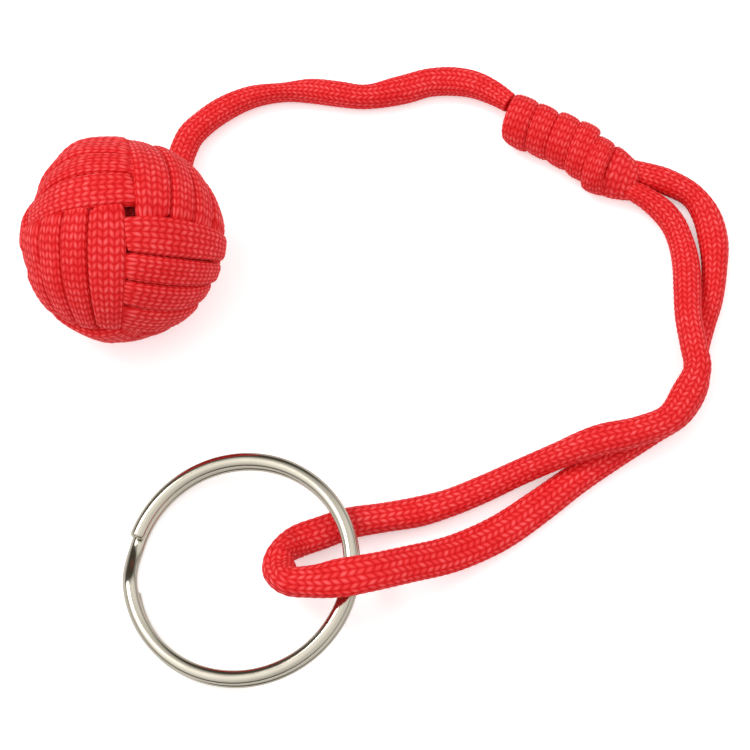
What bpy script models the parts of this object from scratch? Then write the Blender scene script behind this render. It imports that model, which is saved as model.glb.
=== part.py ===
"""Paracord keychain that lies flat: a monkey's fist over a steel ball, its lead, a wrapped knot,
a doubled loop and a split ring.

Units are metres, +Z is up and the keychain lies on the plane z = 0.
"""
import math

import bmesh
import bpy
import numpy as np

MM = 0.001
FULL_TURN = 360.0

# Clearances and cord
GAP = 0.3 * MM
CORD_DIAMETER = 3.9 * MM
FLAT_DEPTH = 0.5 * MM

# Steel ball and the winding round it
CORE_DIAMETER = 19.05 * MM
FIST_X = -30.71 * MM
FIST_Y = 15.93 * MM
FIST_POLE = (0.173, -0.102, 0.980)
FIST_TWIST = 1.5
BIGHT_LATITUDE = 13.8
PASSES = 4
INNER_THICKNESS = 1.35 * MM
OUTER_THICKNESS = 1.65 * MM
LAYER_GAP = 0.9 * MM
LANE_GAP = 0.66 * MM
OUTER_SPREAD = 0.84
INNER_SPREAD = 0.58
WAIST = 0.2 * MM
DIVE_ANGLE = 7.0
OVER_MARGIN = 8.5
UNDER_MARGIN = 7.5
OVER_STEPS = 3
UNDER_STEPS = 2
TAIL_RUN = 10.0 * MM
TAIL_TURN = -6.0
TAIL_WIDTH = 3.2 * MM
TAIL_THICKNESS = 2.2 * MM
TAIL_HEIGHT = 1.8 * MM

# Wrapped knot
KNOT_X = 31.01 * MM
KNOT_Y = 33.81 * MM
KNOT_HEADING = -29.3
WRAPS = 6
WRAP_PITCH = 3.35 * MM
WRAP_WIDTH = 2.85 * MM
WRAP_THICKNESS = 1.5 * MM
WRAP_STUB = 2.2 * MM
POINTS_PER_WRAP = 24
CORE_STRAND_WIDTH = 2.7 * MM
CORE_STRAND_THICKNESS = 1.3 * MM
CORE_STRAND_SPACING = 0.4 * MM
MOUTH_RUN = 2.0 * MM
MOUTH_OFFSET = 2.0 * MM
MOUTH_DIAMETER = 2.3 * MM
LEAD_MOUTH_DIAMETER = 3.3 * MM

# Split ring
RING_OUTER_DIAMETER = 32.0 * MM
RING_BAND = 2.2 * MM
RING_WIRE_HEIGHT = 1.25 * MM
RING_CORNER = 0.35 * MM
RING_X = -14.24 * MM
RING_Y = -27.73 * MM
RING_TILT = 10.0
JOG_CENTRE = 175.0
JOG_SPAN = 24.0
RING_END_GAP = 2.0
RING_STATIONS_PER_TURN = 72

# Routes of the free cord, point by point in millimetres, between the pieces that hold its ends
LEAD_ROUTE = (
    (-23.3, 34.1, 2), (-22.5, 36.2, 2), (-20.7, 38.3, 2), (-18, 40.4, 2), (-14.1, 42.3, 2),
    (-9.3, 43, 2), (-5.6, 43.2, 2), (-1.4, 42.8, 2), (1.7, 42.4, 2), (7.7, 43.5, 2),
    (11.1, 44.5, 2), (14.5, 44.7, 2),
)
LOOP_ROUTE = (
    (47.5, 26.8, 2.4), (49.6, 23.9, 2), (50.6, 20.7, 2), (50.6, 15.9, 2), (49.9, 11.5, 2),
    (48.6, 7.4, 2), (47.6, 3.8, 2), (46.9, -0.4, 2), (44.7, -4.3, 2), (41, -7.5, 2),
    (35.6, -11, 2), (30.8, -14.5, 2), (25.8, -18.2, 2), (20.3, -22, 2.4), (14.2, -25.4, 4.4),
    (7.6, -28.1, 7.9), (2.6, -29.9, 10.3), (-1, -30.7, 10.5), (-4.7, -30.9, 9.4),
    (-7.6, -30.4, 8.2), (-9.4, -28.2, 6.3), (-8.9, -25.6, 4.4), (-6.9, -23.9, 3.3),
    (-3.5, -22.6, 2.8), (-0.1, -21.1, 2.6), (4.8, -20, 2.4), (9.6, -19.2, 2), (13.1, -18, 2),
    (17.7, -16.1, 2), (23.1, -13.7, 2.6), (28.4, -11.9, 4.5), (33.8, -10.3, 6), (39.1, -9, 6.2),
    (43, -6.9, 6.2), (45.6, -3.5, 6.2), (47.1, -0, 6.2), (46.8, 3.2, 6.2), (46.3, 7.3, 5.7),
    (46.3, 11.9, 4.6), (46.4, 16, 3.3), (45.9, 20.3, 2.3), (45, 22.8, 2.3),
)
ROUTE_STEP = 6.0 * MM
ROUTE_TURN = 13.0
NECK_LENGTH = 8.0 * MM
END_RUN = 1.0 * MM

# Sizes that follow
FIST_RADIUS = CORE_DIAMETER / 2 + GAP + INNER_THICKNESS + LAYER_GAP + OUTER_THICKNESS
INNER_LAYER = CORE_DIAMETER / 2 + GAP + INNER_THICKNESS / 2
OUTER_LAYER = FIST_RADIUS - OUTER_THICKNESS / 2
KNOT_BORE = GAP + math.hypot(CORE_STRAND_THICKNESS + CORE_STRAND_SPACING / 2, CORE_STRAND_WIDTH / 4)
KNOT_RADIUS = KNOT_BORE + WRAP_THICKNESS
KNOT_LENGTH = WRAPS * WRAP_PITCH
KNOT_CENTRE = np.array([KNOT_X, KNOT_Y, KNOT_RADIUS - FLAT_DEPTH])
HEXAGON = tuple((math.cos(k * math.pi / 3), math.sin(k * math.pi / 3) / math.sin(math.pi / 3))
                for k in range(6))


def remove_everything():
    """Empty the scene."""
    for old in list(bpy.data.objects):
        bpy.data.objects.remove(old, do_unlink=True)


def material(name, colour, roughness, metallic=0.0):
    """A Principled BSDF material with one flat colour."""
    made = bpy.data.materials.new(name)
    made.use_nodes = True
    shader = made.node_tree.nodes["Principled BSDF"]
    shader.inputs["Base Color"].default_value = (*colour, 1.0)
    shader.inputs["Roughness"].default_value = roughness
    shader.inputs["Metallic"].default_value = metallic
    return made


def unit(vectors):
    """Vectors along the last axis, scaled to length one."""
    return vectors / np.linalg.norm(vectors, axis=-1, keepdims=True)


def path_directions(points):
    """Direction of a path at each of its points, halfway between the runs on either side."""
    runs = unit(np.diff(points, axis=0))
    return unit(np.vstack([runs[:1], runs[1:] + runs[:-1], runs[-1:]]))


def strand_rings(points, outward, widths, thicknesses, profile=HEXAGON):
    """Cross-sections of a flat strand: its width lies across the path and square to outward."""
    along = path_directions(points)
    across = unit(np.cross(outward, along))
    upward = np.cross(along, across)
    sides = np.array(profile)
    wide = across[:, None] * (widths / 2)[:, None, None] * sides[None, :, :1]
    thick = upward[:, None] * (thicknesses / 2)[:, None, None] * sides[None, :, 1:]
    return points[:, None] + wide + thick


def loft(name, rings, surface):
    """One closed solid through a row of cross-sections, with flat ends."""
    count, sides = rings.shape[:2]
    shape = bmesh.new()
    rows = [[shape.verts.new(corner) for corner in ring] for ring in rings]
    for i in range(count - 1):
        for j in range(sides):
            k = (j + 1) % sides
            shape.faces.new((rows[i][j], rows[i][k], rows[i + 1][k], rows[i + 1][j]))
    shape.faces.new(list(reversed(rows[0])))
    shape.faces.new(rows[-1])
    bmesh.ops.triangulate(shape, faces=[face for face in shape.faces if len(face.verts) == 4])
    bmesh.ops.recalc_face_normals(shape, faces=shape.faces)
    mesh = bpy.data.meshes.new(name)
    shape.to_mesh(mesh)
    shape.free()
    mesh.materials.append(surface)
    mesh.shade_smooth()
    mesh.set_sharp_from_angle(angle=math.radians(40))
    made = bpy.data.objects.new(name, mesh)
    bpy.context.collection.objects.link(made)
    return made


def least_gap(rings, skip):
    """Least distance between parts of a strand that are further apart along it than skip."""
    centres = rings.mean(axis=1)
    place = np.concatenate([[0], np.cumsum(np.linalg.norm(np.diff(centres, axis=0), axis=1))])
    closed = np.concatenate([rings, rings[:, :1]], axis=1)
    share = (np.arange(4) / 4)[None, None, :, None]
    around = closed[:, :-1, None] * (1 - share) + closed[:, 1:, None] * share
    around = around.reshape(len(rings), -1, 3)
    step = (np.arange(8) / 8)[None, :, None, None]
    spans = around[:-1, None] * (1 - step) + around[1:, None] * step
    spans = spans.reshape(len(rings) - 1, -1, 3)
    middles = spans.mean(axis=1)
    reach = np.linalg.norm(spans - middles[:, None], axis=2).max(axis=1)
    least = 1.0
    for i in range(len(spans)):
        far = np.abs(place[:-1] - place[i]) > skip
        near = np.linalg.norm(middles - middles[i], axis=1) - reach - reach[i] < min(least, 1.0 * MM)
        for j in np.nonzero(far & near)[0]:
            if j > i:
                apart = spans[i][:, None] - spans[j][None, :]
                least = min(least, float(np.sqrt((apart ** 2).sum(axis=2).min())))
    return least


def cut_flat(target):
    """Cut off what lies below z = 0, so that the piece stands on a flat."""
    size = 0.2
    bpy.ops.mesh.primitive_cube_add(size=size, location=(0.0, 0.0, -size / 2))
    cutter = bpy.context.object
    cutter.name = target.name + "_floor_cutter"
    cutter.hide_render = True
    cutter.display_type = "WIRE"
    cut = target.modifiers.new("floor", "BOOLEAN")
    cut.operation = "DIFFERENCE"
    cut.solver = "EXACT"
    cut.object = cutter


def bight_corner(longitude):
    """Unit vector to a corner where three patches meet: north at 0, 90, 180 and 270 degrees."""
    side = 1 if longitude % 90 == 0 else -1
    latitude = math.radians(side * BIGHT_LATITUDE)
    turn = math.radians(longitude)
    return np.array([math.cos(latitude) * math.cos(turn),
                     math.cos(latitude) * math.sin(turn), math.sin(latitude)])


def great_arc(start, end, share):
    """Points at the given shares of the great circle arc from start to end."""
    angle = np.arccos(np.clip((start * end).sum(axis=-1, keepdims=True), -1, 1))
    share = np.reshape(share, (-1, 1))
    return (np.sin((1 - share) * angle) * start + np.sin(share * angle) * end) / np.sin(angle)


# Corners of the patch that each kind of leg crosses, as longitudes past the circuit's start:
# start and end of its right edge, then of its left edge. Even kinds lie over, odd kinds under.
LEG_CORNERS = ((0, 45, "north", 90), (45, "south", 90, 135),
               ("south", 225, 135, 180), (225, 270, 180, "north"))
POLES = {"north": np.array([0.0, 0.0, 1.0]), "south": np.array([0.0, 0.0, -1.0])}
FIRST_LEG = 3
LEGS_PER_PASS = 16
START_LONGITUDE = 180


def leg_points(leg, across, along):
    """Unit vectors on one leg, at shares across (-1 right, 1 left) and along (0 to 1) its patch."""
    start = START_LONGITUDE + 270 * (leg // 4)
    corners = [POLES[c] if c in POLES else bight_corner(start + c) for c in LEG_CORNERS[leg % 4]]
    right = great_arc(corners[0], corners[1], along)
    left = great_arc(corners[2], corners[3], along)
    return great_arc(right, left, (across + 1) / 2)


def smooth_step(share):
    """Eased ramp from 0 to 1."""
    share = np.clip(share, 0, 1)
    return share * share * (3 - 2 * share)


def leg_stations(turn, leg):
    """Centres, widths and thicknesses of the strand on one leg of one pass, round the origin."""
    over = leg % 2 == 0
    last_leg = leg == FIRST_LEG + LEGS_PER_PASS - 1
    lane = 1 - (2 * turn + 1) / PASSES
    ends = leg_points(leg, np.full(2, lane), np.array([0.0, 1.0]))
    arc = math.degrees(math.acos(ends[0] @ ends[1]))
    margin = OVER_MARGIN if over else UNDER_MARGIN
    steps = OVER_STEPS if over else UNDER_STEPS
    along = np.append(0, np.linspace(margin, arc - margin, steps + 1)) / arc
    if turn == 0 and leg == FIRST_LEG:
        along = along[1:]
    if turn == PASSES - 1 and last_leg:
        along = along[:2]
    lanes = np.full_like(along, lane)
    if last_leg and turn < PASSES - 1:
        lanes = lane - 2 / PASSES * smooth_step((along - 0.02) / 0.9)
    rise = np.minimum(np.minimum(along, 1 - along) * arc / DIVE_ANGLE, 1)
    level = (1 if over else -1) * np.sin(rise * math.pi / 2)
    spread = (OUTER_SPREAD + INNER_SPREAD) / 2 + (OUTER_SPREAD - INNER_SPREAD) / 2 * level
    directions = leg_points(leg, lanes * spread, along)
    nudge = 0.001
    inside = np.clip(along, nudge, 1 - nudge)
    forward = unit(leg_points(leg, lanes * spread, inside + nudge)
                   - leg_points(leg, lanes * spread, inside - nudge))
    sideways = (leg_points(leg, (lanes + nudge) * spread, along)
                - leg_points(leg, (lanes - nudge) * spread, along)) / (2 * nudge)
    lane_pitch = np.linalg.norm(np.cross(sideways, forward), axis=1) * 2 / PASSES
    radii = (OUTER_LAYER + INNER_LAYER) / 2 + (OUTER_LAYER - INNER_LAYER) / 2 * level
    half_step = math.radians(arc - 2 * margin) / (2 * steps)
    radii = np.where(rise >= 1, radii / math.cos(half_step), radii)
    thick = (OUTER_THICKNESS + INNER_THICKNESS) / 2 + (OUTER_THICKNESS - INNER_THICKNESS) / 2 * level
    thick -= WAIST * (1 - level ** 2)
    return directions * radii[:, None], lane_pitch * radii - LANE_GAP, thick


def fist_axes():
    """Columns are the world directions of the winding's own axes; the third is its pole."""
    pole = unit(np.array(FIST_POLE))
    first = unit(np.array([1.0, 0.0, 0.0]) - pole * pole[0])
    second = np.cross(pole, first)
    turn = math.radians(FIST_TWIST)
    return np.stack([first * math.cos(turn) + second * math.sin(turn),
                     second * math.cos(turn) - first * math.sin(turn), pole], axis=1)


def fist_strand():
    """Centre of the fist, and the stations of its winding with the tail that leaves it below."""
    legs = [leg_stations(turn, leg) for turn in range(PASSES)
            for leg in range(FIRST_LEG, FIRST_LEG + LEGS_PER_PASS)]
    points = np.concatenate([leg[0] for leg in legs]) @ fist_axes().T
    widths = np.concatenate([leg[1] for leg in legs])
    thicknesses = np.concatenate([leg[2] for leg in legs])
    lowest = strand_rings(points, points, widths, thicknesses)[:, :, 2].min()
    centre = np.array([FIST_X, FIST_Y, -lowest - FLAT_DEPTH])
    points += centre
    heading = points[-1] - points[-2]
    turn = math.radians(TAIL_TURN) + math.atan2(heading[1], heading[0])
    heading = np.array([math.cos(turn), math.sin(turn), 0.0])
    shares = np.array([0.3, 0.6, 1.0])
    tail = points[-1] + heading * TAIL_RUN * shares[:, None]
    tail[:, 2] += (TAIL_HEIGHT - points[-1, 2]) * smooth_step(shares / 0.6)
    points = np.vstack([points, tail])
    widths = np.append(widths, widths[-1] + (TAIL_WIDTH - widths[-1]) * shares)
    thicknesses = np.append(thicknesses, thicknesses[-1]
                            + (TAIL_THICKNESS - thicknesses[-1]) * shares)
    return centre, points, widths, thicknesses


def core_ball(centre, surface):
    """Solid steel ball that the fist is tied over."""
    bpy.ops.mesh.primitive_uv_sphere_add(segments=32, ring_count=16, radius=CORE_DIAMETER / 2,
                                         location=centre)
    ball = bpy.context.object
    ball.name = "core_ball"
    ball.data.materials.append(surface)
    ball.data.shade_smooth()
    return ball


def fist_winding(surface):
    """The fist: one strand in four passes, each over and under round the ball, and its tail."""
    centre, points, widths, thicknesses = fist_strand()
    rings = strand_rings(points, points - centre, widths, thicknesses)
    winding = loft("fist_winding", rings, surface)
    cut_flat(winding)
    print(f"fist winding: {len(points)} stations, least gap to itself "
          f"{least_gap(rings, 7 * MM) / MM:.3f} mm")
    return centre, points[-1], unit(points[-1] - points[-2])


def knot_axes():
    """Directions along, across and up the wrapped knot."""
    turn = math.radians(KNOT_HEADING)
    along = np.array([math.cos(turn), math.sin(turn), 0.0])
    up = np.array([0.0, 0.0, 1.0])
    return along, np.cross(up, along), up


def knot_wraps(surface):
    """Six flat turns side by side, whose ends run straight out under the barrel."""
    along, across, up = knot_axes()
    count = WRAPS * POINTS_PER_WRAP + 1
    angles = np.linspace(0, 2 * math.pi * WRAPS, count)
    middle = KNOT_BORE + WRAP_THICKNESS / 2
    outward = across * np.sin(angles)[:, None] - up * np.cos(angles)[:, None]
    forward = along * (angles / (2 * math.pi) * WRAP_PITCH - KNOT_LENGTH / 2)[:, None]
    points = KNOT_CENTRE + forward + outward * middle
    first = points[0] - unit(points[1] - points[0]) * WRAP_STUB
    last = points[-1] + unit(points[-1] - points[-2]) * WRAP_STUB
    points = np.vstack([first, points, last])
    outward = np.vstack([outward[:1], outward, outward[-1:]])
    full = np.ones(len(points))
    rings = strand_rings(points, outward, full * WRAP_WIDTH, full * WRAP_THICKNESS)
    wraps = loft("knot_wraps", rings, surface)
    cut_flat(wraps)
    print(f"knot wraps: {len(points)} stations, least gap to itself "
          f"{least_gap(rings, 7 * MM) / MM:.3f} mm")


def knot_strand(name, side, stations, surface):
    """A strand through the wraps, from (place along, offset, width, thickness) at each station."""
    along, across, up = knot_axes()
    stations = np.array(stations)
    points = KNOT_CENTRE + along * stations[:, :1] + across * side * stations[:, 1:2]
    outward = np.repeat(across[None], len(points), axis=0)
    loft(name, strand_rings(points, outward, stations[:, 2], stations[:, 3]), surface)
    return points


def knot_strands(surface):
    """The two strands squeezed side by side in the wraps: one runs on, the other one turns back."""
    squeezed = ((CORE_STRAND_SPACING + CORE_STRAND_THICKNESS) / 2, CORE_STRAND_WIDTH,
                CORE_STRAND_THICKNESS)
    leg_end = (MOUTH_OFFSET, MOUTH_DIAMETER, MOUTH_DIAMETER)
    lead_end = (MOUTH_OFFSET, LEAD_MOUTH_DIAMETER, LEAD_MOUTH_DIAMETER)
    tail_end = ((MOUTH_DIAMETER + GAP) / 2, MOUTH_DIAMETER, MOUTH_DIAMETER)
    reach = (KNOT_LENGTH + WRAP_WIDTH) / 2 + GAP
    standing = knot_strand("knot_standing_strand", 1, (
        (-reach - MOUTH_RUN, *lead_end), (-reach - MOUTH_RUN / 2, *lead_end), (-reach, *squeezed),
        (reach, *squeezed), (reach + MOUTH_RUN / 2, *leg_end), (reach + MOUTH_RUN, *leg_end),
    ), surface)
    tail = knot_strand("knot_tail_strand", -1, (
        (GAP - KNOT_LENGTH / 2, *squeezed), (reach, *squeezed), (reach + MOUTH_RUN / 2, *tail_end),
        (reach + MOUTH_RUN, *tail_end),
    ), surface)
    return standing, tail


def smooth_route(route):
    """Points on a smooth curve through a route, closer together where it turns."""
    route = np.array(route)
    spans = np.linalg.norm(np.diff(route, axis=0), axis=1)[:, None]
    slopes = np.diff(route, axis=0) / spans
    inner = (slopes[:-1] * spans[1:] + slopes[1:] * spans[:-1]) / (spans[:-1] + spans[1:])
    tangents = np.vstack([slopes[:1], inner, slopes[-1:]])
    share = np.linspace(0, 1, 16, endpoint=False)[:, None]
    ease = smooth_step(share)
    fine = []
    for start, end, leave, arrive, span in zip(route[:-1], route[1:], tangents[:-1], tangents[1:],
                                               spans):
        bend = leave * share * (1 - share) ** 2 - arrive * share ** 2 * (1 - share)
        fine.append(start * (1 - ease) + end * ease + span * bend)
    fine = np.vstack(fine + [route[-1:]])
    runs = np.diff(fine, axis=0)
    lengths = np.linalg.norm(runs, axis=1)
    headings = runs / lengths[:, None]
    turns = np.degrees(np.arccos(np.clip((headings[1:] * headings[:-1]).sum(axis=1), -1, 1)))
    kept = [0]
    run = 0.0
    turned = 0.0
    for i in range(1, len(fine) - 1):
        run += lengths[i - 1]
        turned += turns[i - 1]
        if run >= ROUTE_STEP or turned >= ROUTE_TURN:
            kept.append(i)
            run = 0.0
            turned = 0.0
    kept.append(len(fine) - 1)
    return fine[kept], float(lengths.sum())


def straight_run(seat, heading):
    """Points of the straight end of a cord that faces a seat, with the clearance between."""
    return [seat + heading * (GAP + share * END_RUN) for share in (0.0, 0.5, 1.0)]


def cord(name, route, start_radius, end_radius, surface):
    """A free stretch of round cord along a route, which narrows to each end where it is held."""
    points, length = smooth_route(route)
    curve = bpy.data.curves.new(name, "CURVE")
    curve.dimensions = "3D"
    curve.bevel_depth = CORD_DIAMETER / 2
    curve.bevel_resolution = 2
    curve.use_fill_caps = True
    spline = curve.splines.new("POLY")
    spline.points.add(len(points) - 1)
    steps = np.linalg.norm(np.diff(points, axis=0), axis=1)
    place = np.concatenate([[0], np.cumsum(steps)])
    for point, position, walked in zip(spline.points, points, place):
        point.co = (*position, 1.0)
        opening = smooth_step(walked / NECK_LENGTH)
        closing = smooth_step((place[-1] - walked) / NECK_LENGTH)
        radius = start_radius + (CORD_DIAMETER / 2 - start_radius) * opening
        radius = min(radius, end_radius + (CORD_DIAMETER / 2 - end_radius) * closing)
        point.radius = radius / (CORD_DIAMETER / 2)
    curve.materials.append(surface)
    made = bpy.data.objects.new(name, curve)
    bpy.context.collection.objects.link(made)
    print(f"{name}: {len(points)} points, {length / MM:.1f} mm long")
    return made


def ring_profile():
    """Cross-section of the ring's wire as radius and height, a rectangle with eased corners."""
    outer = RING_OUTER_DIAMETER / 2
    inner = outer - RING_BAND
    half = RING_WIRE_HEIGHT / 2
    ease = RING_CORNER
    part = ease * (1 - math.sqrt(0.5))
    corners = []
    for radius, height, toward, level in ((outer, -half, -1, 1), (outer, half, -1, -1),
                                          (inner, half, 1, -1), (inner, -half, 1, 1)):
        flat = (radius + toward * ease, height)
        middle = (radius + toward * part, height + level * part)
        side = (radius, height + level * ease)
        corners += [flat, middle, side] if toward * level < 0 else [side, middle, flat]
    return np.array(corners)


def split_ring(surface):
    """Two flat turns of one wire, joined by a jog, tilted up on the cord that it lies against."""
    rise = (RING_WIRE_HEIGHT + GAP) / 2
    start = JOG_CENTRE + JOG_SPAN / 2 + RING_END_GAP
    end = JOG_CENTRE - JOG_SPAN / 2 + 2 * FULL_TURN - RING_END_GAP
    count = round((end - start) / FULL_TURN * RING_STATIONS_PER_TURN) + 1
    angles = np.linspace(start, end, count)
    climb = smooth_step((angles - (JOG_CENTRE + FULL_TURN - JOG_SPAN / 2)) / JOG_SPAN)
    heights = -rise + 2 * rise * climb
    profile = ring_profile()
    turned = np.radians(angles)[:, None]
    rings = np.stack([profile[None, :, 0] * np.cos(turned), profile[None, :, 0] * np.sin(turned),
                      profile[None, :, 1] + heights[:, None]], axis=2)
    ring = loft("split_ring", rings, surface)
    tilt = math.radians(RING_TILT)
    lowest = (profile[:, 0] * math.sin(tilt) + (rise - profile[:, 1]) * math.cos(tilt)).max()
    ring.location = (RING_X, RING_Y, lowest)
    ring.rotation_euler = (0.0, -tilt, 0.0)
    return ring


def main():
    """Build every piece."""
    remove_everything()
    red_cord = material("red_paracord", (0.62, 0.015, 0.03), 0.75)
    steel = material("steel", (0.55, 0.55, 0.56), 0.3, 1.0)
    nickel = material("nickel", (0.62, 0.6, 0.57), 0.22, 1.0)
    fist_centre, tail_end, tail_heading = fist_winding(red_cord)
    core_ball(fist_centre, steel)
    knot_wraps(red_cord)
    standing, tail = knot_strands(red_cord)
    split_ring(nickel)
    along = knot_axes()[0]
    lead = straight_run(tail_end, tail_heading)
    lead += [np.array(point) * MM for point in LEAD_ROUTE]
    lead += reversed(straight_run(standing[0], -along))
    cord("lead_cord", lead, TAIL_THICKNESS / 2, LEAD_MOUTH_DIAMETER / 2, red_cord)
    loop = straight_run(standing[-1], along)
    loop += [np.array(point) * MM for point in LOOP_ROUTE]
    loop += reversed(straight_run(tail[-1], along))
    cord("loop_cord", loop, MOUTH_DIAMETER / 2, MOUTH_DIAMETER / 2, red_cord)


main()
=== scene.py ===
"""A red paracord keychain that lies on a white table, dressed piece by piece round its solids.

Units are metres, +Z is up and the table is z = 0.
"""
import math

import bpy
import numpy as np
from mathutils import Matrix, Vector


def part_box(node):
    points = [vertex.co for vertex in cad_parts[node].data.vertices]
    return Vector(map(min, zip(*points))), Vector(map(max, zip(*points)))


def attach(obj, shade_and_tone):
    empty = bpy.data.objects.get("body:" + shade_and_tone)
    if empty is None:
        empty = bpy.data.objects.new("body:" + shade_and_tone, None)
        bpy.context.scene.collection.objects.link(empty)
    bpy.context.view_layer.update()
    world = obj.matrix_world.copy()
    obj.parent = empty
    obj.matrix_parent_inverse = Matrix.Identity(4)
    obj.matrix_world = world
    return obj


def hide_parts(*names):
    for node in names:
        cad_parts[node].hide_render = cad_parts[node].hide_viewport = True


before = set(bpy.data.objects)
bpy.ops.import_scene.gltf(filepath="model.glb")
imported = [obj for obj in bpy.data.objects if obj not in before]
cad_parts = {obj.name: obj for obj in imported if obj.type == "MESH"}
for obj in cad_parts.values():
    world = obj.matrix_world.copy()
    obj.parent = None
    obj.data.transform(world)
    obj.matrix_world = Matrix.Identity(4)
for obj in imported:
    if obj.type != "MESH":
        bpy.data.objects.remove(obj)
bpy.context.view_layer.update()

# Camera
# A long lens looks down on the table from 70 degrees up, square to the keychain's long side.
CAMERA_ELEVATION = 70.0
CAMERA_DISTANCE = 0.42
CAMERA_AIM = (0.00356, 0.00121, 0.0)
CAMERA_LENS = 146.8
lens = bpy.data.cameras.new("camera")
lens.lens = CAMERA_LENS
lens.clip_start = 0.01
camera = bpy.data.objects.new("camera", lens)
lift = math.radians(CAMERA_ELEVATION)
camera.location = (CAMERA_AIM[0], CAMERA_AIM[1] - CAMERA_DISTANCE * math.cos(lift),
                   CAMERA_DISTANCE * math.sin(lift))
camera.rotation_euler = (math.pi / 2 - lift, 0.0, 0.0)
bpy.context.collection.objects.link(camera)
bpy.context.scene.camera = camera


# Lead between the ball and the wrapped knot
# Nylon paracord: a braided sheath of flat yarns, laid in chevrons, over loose core yarns. It lies
# limp on the table, and gets flatter and rounder by turns as it twists.
# Each station of a cord is x, y, z and the width that it shows.
LEAD_STATIONS = (
    (-0.0258, 0.0234, 0.0018, 0.0032), (-0.0248, 0.0250, 0.0018, 0.0033),
    (-0.0242, 0.0291, 0.0019, 0.0036), (-0.0233, 0.0341, 0.0020, 0.0038),
    (-0.0224, 0.0362, 0.0020, 0.0038), (-0.0206, 0.0382, 0.0020, 0.0036),
    (-0.0179, 0.0403, 0.0020, 0.0035), (-0.0140, 0.0422, 0.0020, 0.0030),
    (-0.0093, 0.0430, 0.0020, 0.0024), (-0.0056, 0.0432, 0.0020, 0.0033),
    (-0.0014, 0.0427, 0.0020, 0.0035), (0.0017, 0.0423, 0.0020, 0.0033),
    (0.0077, 0.0435, 0.0020, 0.0041), (0.0111, 0.0445, 0.0020, 0.0040),
    (0.0145, 0.0447, 0.0021, 0.0041), (0.0176, 0.0440, 0.0024, 0.0038),
    (0.0202, 0.0427, 0.0027, 0.0034), (0.0226, 0.0409, 0.0029, 0.0028),
)
CORD_DIAMETER = 0.0039
CORD_FULLNESS = 2.3
CORD_FLATTENING = 0.9
MOUTH_HEIGHT = 0.0028
MOUTH_RUN = 0.006
LEAD_PITCH = 0.00076
LEAD_SPIN = 0.22
BRAID_COLUMNS = 18
BRAID_DEPTH = 0.0001
BRAID_SLOPE = 0.95
SIDE_SAMPLES = 5
ROW_SAMPLES = 5
# The cord's red runs from painted shade in the grooves round each grain to the lighter red of its
# crest. A pale pink painted highlight lies on the grains' backs.
RED_PAINTED_SHADE = (0.66, 0.004, 0.006)
RED_CREST = (0.94, 0.031, 0.035)
RED_PAINTED_HIGHLIGHT = (1.0, 0.15, 0.15)
SHEEN_RED = (1.0, 0.45, 0.45)
FILAMENTS = (1.6, 9.0)
CLOUDS = 160.0


def unit(vectors):
    """Vectors along the last axis, each divided by its length."""
    return vectors / np.linalg.norm(vectors, axis=-1, keepdims=True)


def walked(points):
    """Distance along a row of points from the first to each."""
    steps = np.linalg.norm(np.diff(points, axis=0), axis=1)
    return np.concatenate([[0.0], np.cumsum(steps)])


def eased(share):
    """Ramp from 0 to 1 that starts and ends level: 3 t squared less 2 t cubed."""
    share = np.clip(share, 0.0, 1.0)
    return share * share * (3 - 2 * share)


def smooth_path(stations, fineness=24):
    """Fine stations on a smooth curve through the given ones: a cubic over each span, whose slope
    at a station is that of its two spans, each weighted by the other's length."""
    stations = np.array(stations)
    spans = np.linalg.norm(np.diff(stations[:, :3], axis=0), axis=1)[:, None]
    slopes = np.diff(stations, axis=0) / spans
    inner = (slopes[:-1] * spans[1:] + slopes[1:] * spans[:-1]) / (spans[:-1] + spans[1:])
    slopes = np.vstack([slopes[:1], inner, slopes[-1:]])
    t = (np.arange(fineness) / fineness)[None, :, None]
    bend = slopes[:-1, None] * t * (1 - t) ** 2 - slopes[1:, None] * t * t * (1 - t)
    curve = stations[:-1, None] * (1 - eased(t)) + stations[1:, None] * eased(t)
    curve = curve + spans[:, None] * bend
    return np.vstack([curve.reshape(-1, stations.shape[1]), stations[-1:]])


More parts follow.
